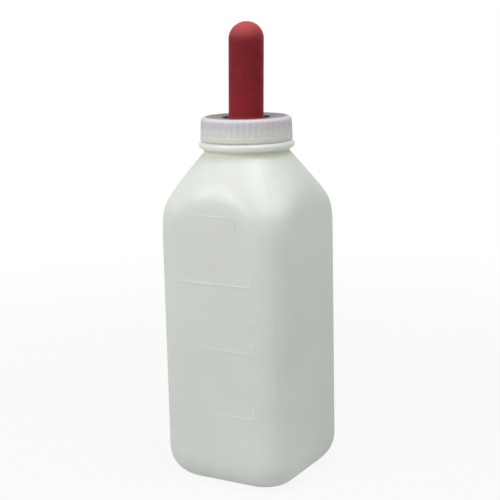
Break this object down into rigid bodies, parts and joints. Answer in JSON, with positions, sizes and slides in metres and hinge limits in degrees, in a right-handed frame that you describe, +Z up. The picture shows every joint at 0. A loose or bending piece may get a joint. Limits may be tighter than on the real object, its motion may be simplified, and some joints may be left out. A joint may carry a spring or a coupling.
{
  "type": "livestock nursing bottle",
  "caption": "Square-bodied plastic bottle for bottle-feeding calves, with a ribbed screw cap that clamps a long domed rubber nipple on its neck.",
  "frame": {"origin": "middle of the base, on the surface that the bottle stands on", "axes": "+Z up along the neck and the nipple, -Y towards the side with the filling scale"},
  "size_m": [0.105, 0.105, 0.3351],
  "materials": {
    "bottle": "milky translucent blow-moulded polyethylene, satin",
    "cap": "white injection-moulded polypropylene, satin",
    "nipple": "matte red moulded rubber"
  },
  "bodies": {
    "bottle": {"bottle": "bottle"},
    "nipple": {"nipple": "nipple"},
    "screw_cap": {"screw_cap": "cap"}
  },
  "joints": [
    {"name": "nipple_lift", "type": "slide", "parent": "bottle", "child": "nipple", "axis": [0, 0, 1], "range_m": [0, 0.0127]},
    {"name": "cap_turn", "type": "hinge", "parent": "nipple", "child": "screw_cap", "pos_m": [0, 0, 0.2624], "axis": [0, 0, 1], "range_deg": [0, 1080]}
  ],
  "couplings": [
    {"joint": "nipple_lift", "follows": "cap_turn", "m_per_rad": 0.00067372}
  ]
}
